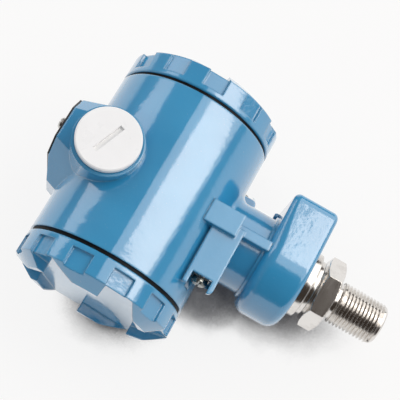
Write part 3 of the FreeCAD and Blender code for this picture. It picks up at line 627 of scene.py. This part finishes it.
def threadedShank(c):
    # A grid whose rows climb one pitch each turn, so that the ridge follows the helix.
    length, pitch, ridge, count = c["threadLength"], c["pitch"], c["ridge"], c["around"]
    rows = (int(length / pitch) + c["spareTurns"]) * len(ridge)
    vertices, faces = [], []
    for row in range(rows):
        turn, part = divmod(row, len(ridge))
        share, crestShare = ridge[part]
        for k in range(count + 1):
            height = (turn - c["spareTurns"] / 2 + share + k / count) * pitch
            height = min(max(height, 0.0), length)
            crest = c["tipRadius"] + (c["topRadius"] - c["tipRadius"]) * height / length
            fade = min(max((length - height) / (c["fadePitches"] * pitch), 0.0), 1.0)
            fullness = 1 - c["fadeShare"] + c["fadeShare"] * fade
            depth = c["threadDepth"] * (1 - crestShare) * fullness
            if height < c["plainTip"]:
                depth = c["plainTipDepth"]
            chamfer = max(c["tipChamfer"] - height, 0.0)
            radius = crest - max(depth, chamfer)
            angle = 2 * math.pi * k / count
            vertices.append((radius * math.cos(angle), radius * math.sin(angle), height))
    for row in range(rows - 1):
        for k in range(count):
            a = row * (count + 1) + k
            faces.append((a, a + 1, a + count + 2, a + count + 1))
    return vertices, faces


def spannerProfile(c):
    # Two chamfer cones with the flats between them, and level faces at both ends.
    low, high, rise = c["undercutTop"], c["hexTop"], c["hexChamferHeight"]
    edge, wide, steps = c["hexChamferRadius"], c["hexReach"], c["hexChamferSteps"]
    points = [(c["undercutRadius"], low), (edge, low)]
    for k in range(1, steps + 1):
        points.append((edge + (wide - edge) * k / steps, low + rise * k / steps))
    points.append((wide, high - rise))
    for k in range(1, steps + 1):
        points.append((wide + (edge - wide) * k / steps, high - rise + rise * k / steps))
    return points + [(c["grooveRadius"] - c["hexOverlap"], high)]


def makeFitting(c):
    fittingSteel = turnedSteel("fittingSteel")
    threadSteel = turnedSteel("threadSteel")
    count = c["around"]
    fittingPiece("processThread", threadedShank(c), threadSteel, 25)
    port = [
        (c["tipRadius"] - c["tipChamfer"], 0.0),
        (c["portRadius"] + c["portChamfer"], 0.0),
        (c["portRadius"], c["portChamfer"]),
        (c["portRadius"], c["portDepth"]),
        (c["centreHole"], c["portDepth"]),
    ]
    fittingPiece("pressurePort", lathed(port, count), threadSteel)

    def flatReach(angle):
        wrapped = (angle - math.radians(c["hexTurn"])) % (math.pi / 3) - math.pi / 6
        return c["hexFlats"] / 2 / math.cos(wrapped)

    spanner = lathed(spannerProfile(c), c["hexAround"], flatReach)
    fittingPiece("spannerHexagon", spanner, fittingSteel, 20)
    low = c["threadLength"]
    rings = [
        (c["topRadius"] - c["threadDepth"] * c["undercutShare"], low),
        (c["undercutRadius"], low + c["undercutSlope"]),
        (c["undercutRadius"], c["undercutTop"]),
        (c["grooveRadius"], c["hexTop"]),
        (c["grooveRadius"], c["grooveTop"]),
    ]
    for radius, bottom, top in (("smallRingRadius", "grooveTop", "smallRingTop"),
                                ("largeRingRadius", "smallRingTop", "largeRingTop")):
        rings += ringProfile(c[radius], c[bottom], c[top], c["ringRound"], c["roundSteps"])
    rings.append((c["undercutRadius"], c["largeRingTop"]))
    fittingPiece("fittingRings", lathed(rings, count), fittingSteel)


makeFitting(fitting)
print("process fitting made")


# The table under the transmitter touches the left plug's rim and the drum's side.
table = {
    "plugRim": (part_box("left_conduit_plug")[0].x, entryLevel - 0.015),
    "drumSide": (-0.027, 0.047),
    "middleShift": 0.05,  # from the drum's side along the table
    "gap": 0.0002,
    "size": 3.2,
    "colour": (0.86, 0.855, 0.85),
    "cloudShade": 0.99,
    "cloudScale": 3,
    "roughness": 0.55,
    "ior": 1.35,
    "whiteColour": (0.985, 0.98, 0.975),
    "whiteShare": 0.86,
    # A painted shadow under the transmitter, drawn from an occlusion mask, which leans towards one
    # side
    "shadeColour": (0.022, 0.018, 0.018),
    "shadeReach": 0.034,
    "shadeTowards": (0.62, 0.74, 0.12),
    "shadeFull": 0.38,
    "shadeNone": 0.57,
    "shadeSamples": 16,
}


def clothFinish(c):
    # White to the camera and in gloss, apart from a painted shadow under the transmitter. It is
    # clear from behind, and lets the even light through to the underside.
    f = Finish("tableCloth")
    cloudColour = tuple(value * c["cloudShade"] for value in c["colour"])
    f.set({
        "Base Color": f.mixed(f.uneven(c["cloudScale"], 0.0, 1.0), c["colour"], cloudColour),
        "Roughness": c["roughness"],
        "IOR": c["ior"],
    })
    lean = f.add("ShaderNodeCombineXYZ")
    for socket, value in zip(lean.inputs, Vector(c["shadeTowards"]).normalized()):
        socket.default_value = value
    # An occlusion mask paints the shadow into the emitted white.
    shade = f.add("ShaderNodeAmbientOcclusion", samples=c["shadeSamples"])
    shade.inputs["Distance"].default_value = c["shadeReach"]
    f.put(shade.inputs["Normal"], lean.outputs[0])
    # Where the mask is low, the emitted white turns to the painted shadow colour.
    outsidePaintedShadow = f.softSpan(shade.outputs["AO"], c["shadeFull"], c["shadeNone"])
    white = f.add("ShaderNodeEmission")
    f.put(white.inputs["Color"], f.mixed(outsidePaintedShadow, c["shadeColour"], c["whiteColour"]))
    rays = f.add("ShaderNodeLightPath").outputs
    shape = f.add("ShaderNodeNewGeometry").outputs
    clear = f.add("ShaderNodeBsdfTransparent")

    def anyOf(first, *others):
        for other in others:
            first = f.maths("MAXIMUM", first, other)
        return first

    def shaderMix(share, first, second):
        item = f.add("ShaderNodeMixShader")
        for socket, value in zip(item.inputs, (share, first, second)):
            f.put(socket, value)
        return item.outputs[0]

    seen = anyOf(rays["Is Camera Ray"], rays["Is Glossy Ray"], rays["Is Transmission Ray"])
    through = anyOf(shape["Backfacing"], rays["Is Diffuse Ray"], rays["Is Shadow Ray"])
    whiteShare = f.maths("MULTIPLY", seen, c["whiteShare"])
    cloth = shaderMix(whiteShare, f.shader.outputs[0], white.outputs[0])
    f.put(f.output.inputs["Surface"], shaderMix(through, cloth, clear.outputs[0]))
    return f


def makeTable(c):
    (plugX, plugZ), (drumX, drumZ) = c["plugRim"], c["drumSide"]
    along = Vector((plugX - drumX, 0, plugZ - drumZ)).normalized()
    across = Vector((0, 1, 0))
    normal = across.cross(along)
    if normal.x < 0:
        normal = -normal
    half = c["size"] / 2
    middle = Vector((drumX, 0, drumZ)) + along * c["middleShift"] - normal * c["gap"]
    signs = ((-1, -1), (1, -1), (1, 1), (-1, 1))
    corners = [middle + along * half * a + across * half * b for a, b in signs]
    mesh = bpy.data.meshes.new("studioTable")
    mesh.from_pydata([tuple(corner) for corner in corners], [], [(0, 1, 2, 3)])
    if mesh.polygons[0].normal.dot(normal) < 0:
        mesh.flip_normals()
    mesh.materials.append(clothFinish(c).material)
    item = bpy.data.objects.new("studioTable", mesh)
    scene.collection.objects.link(item)


makeTable(table)
print("table laid")


# Lamp angles are in the plane across the barrel, from +X towards +Z, and lean is along the barrel.
lamps = {
    "keySoftbox": {"angle": -32, "lean": 0.31, "distance": 1.0, "width": 0.36, "height": 0.79,
                   "power": 2.8, "colour": (1.0, 0.92, 0.85)},
    "sideSoftbox": {"angle": 62, "lean": 0.31, "distance": 1.0, "width": 0.30, "height": 0.60,
                    "power": 0.9, "colour": (1.0, 0.95, 0.92)},
}


def makeLamp(name, c):
    angle = math.radians(c["angle"])
    flat = math.sqrt(1 - c["lean"] ** 2)
    direction = Vector((math.cos(angle) * flat, c["lean"], math.sin(angle) * flat))
    lamp = bpy.data.lights.new(name, "AREA")
    lamp.shape = "RECTANGLE"
    lamp.size, lamp.size_y = c["width"], c["height"]
    lamp.energy = c["power"]
    lamp.color = c["colour"]
    item = bpy.data.objects.new(name, lamp)
    item.location = barrelCentre + direction * c["distance"]
    item.rotation_mode = "QUATERNION"
    item.rotation_quaternion = direction.to_track_quat("Z", "Y")
    scene.collection.objects.link(item)


for lampName, settings in lamps.items():
    makeLamp(lampName, settings)
print("lamps hung")


# Gloss shows a room: white below the table's horizon, with grey walls, a darker ceiling, and a dark
# side where the camera stands. A broad white screen hangs beside the lamps, and past its end,
# towards the rear cover, is a dark gap.
room = {
    "up": (0.98, 0.0, 0.18),
    "whiteColour": (1.0, 1.0, 0.995),
    "horizon": (0.02, 0.12),
    "wallColour": (0.22, 0.22, 0.225),
    "ceilingColour": (0.19, 0.175, 0.165),
    "ceilingEdge": (0.45, 0.80),
    "darkSide": (0.66, -0.75, -0.05),
    "darkColour": (0.048, 0.038, 0.031),
    "darkEdge": (0.78, 0.90),
    "screenAngle": 33,
    "screenTilt": -27,
    "screenHalf": (0.92, 0.58),
    "screenSoft": 0.05,
    "screenLeast": 0.02,  # the screen ends before its plane turns edge on
    "screenColour": (1.90, 1.84, 1.78),
    "gapSide": (0.10, 0.99, 0.0),
    "gapEdge": (0.965, 0.985),
    # Soft light on everything, less from the front and from below the table
    "evenLight": (0.98, 0.99, 1.02),
    "frontLight": (0.50, 0.51, 0.54),
    "frontSide": (0.35, -0.93, 0.10),
    "frontEdge": (-0.2, 0.8),
    "tableLight": (0.42, 0.425, 0.435),
    "tableEdge": (-0.3, 0.1),
    "strength": 0.95,
}


def makeRoom(c):
    world = bpy.data.worlds.new("studioRoom")
    world.use_nodes = True
    w = NodeWork(world.node_tree)
    heading = w.add("ShaderNodeTexCoord").outputs["Generated"]

    def towards(direction, edge=None):
        facing = w.dot(heading, Vector(direction).normalized())
        return w.softSpan(facing, *edge) if edge else facing

    angle, tilt = math.radians(c["screenAngle"]), math.radians(c["screenTilt"])
    flat = math.cos(tilt)
    facing = Vector((math.cos(angle) * flat, math.sin(angle) * flat, math.sin(tilt)))
    level = Vector((-math.sin(angle), math.cos(angle), 0))
    least = c["screenLeast"]
    onScreen = towards(facing, (0.0, least))
    ahead = w.maths("MAXIMUM", towards(facing), least)
    for direction, half in zip((level, facing.cross(level)), c["screenHalf"]):
        off = w.maths("ABSOLUTE", w.maths("DIVIDE", towards(direction), ahead))
        outside = w.softSpan(off, half - c["screenSoft"], half)
        onScreen = w.maths("MULTIPLY", onScreen, w.maths("SUBTRACT", 1.0, outside))
    shown = w.mixed(towards(c["up"], c["ceilingEdge"]), c["wallColour"], c["ceilingColour"])
    shown = w.mixed(towards(c["up"], c["horizon"]), c["whiteColour"], shown)
    shown = w.mixed(towards(c["darkSide"], c["darkEdge"]), shown, c["darkColour"])
    shown = w.mixed(onScreen, shown, c["screenColour"])
    shown = w.mixed(towards(c["gapSide"], c["gapEdge"]), shown, c["darkColour"])
    even = w.mixed(towards(c["frontSide"], c["frontEdge"]), c["evenLight"], c["frontLight"])
    even = w.mixed(towards(c["up"], c["tableEdge"]), c["tableLight"], even)
    # Diffuse rays see the even light, gloss sees the room, and the camera sees plain white.
    rays = w.add("ShaderNodeLightPath").outputs
    shown = w.mixed(rays["Is Diffuse Ray"], shown, even)
    shown = w.mixed(rays["Is Camera Ray"], shown, c["whiteColour"])
    light = w.add("ShaderNodeBackground")
    w.put(light.inputs["Color"], shown)
    light.inputs["Strength"].default_value = c["strength"]
    w.put(w.add("ShaderNodeOutputWorld").inputs["Surface"], light.outputs[0])
    scene.world = world


makeRoom(room)
scene.view_settings.view_transform = "Standard"
print("room made")
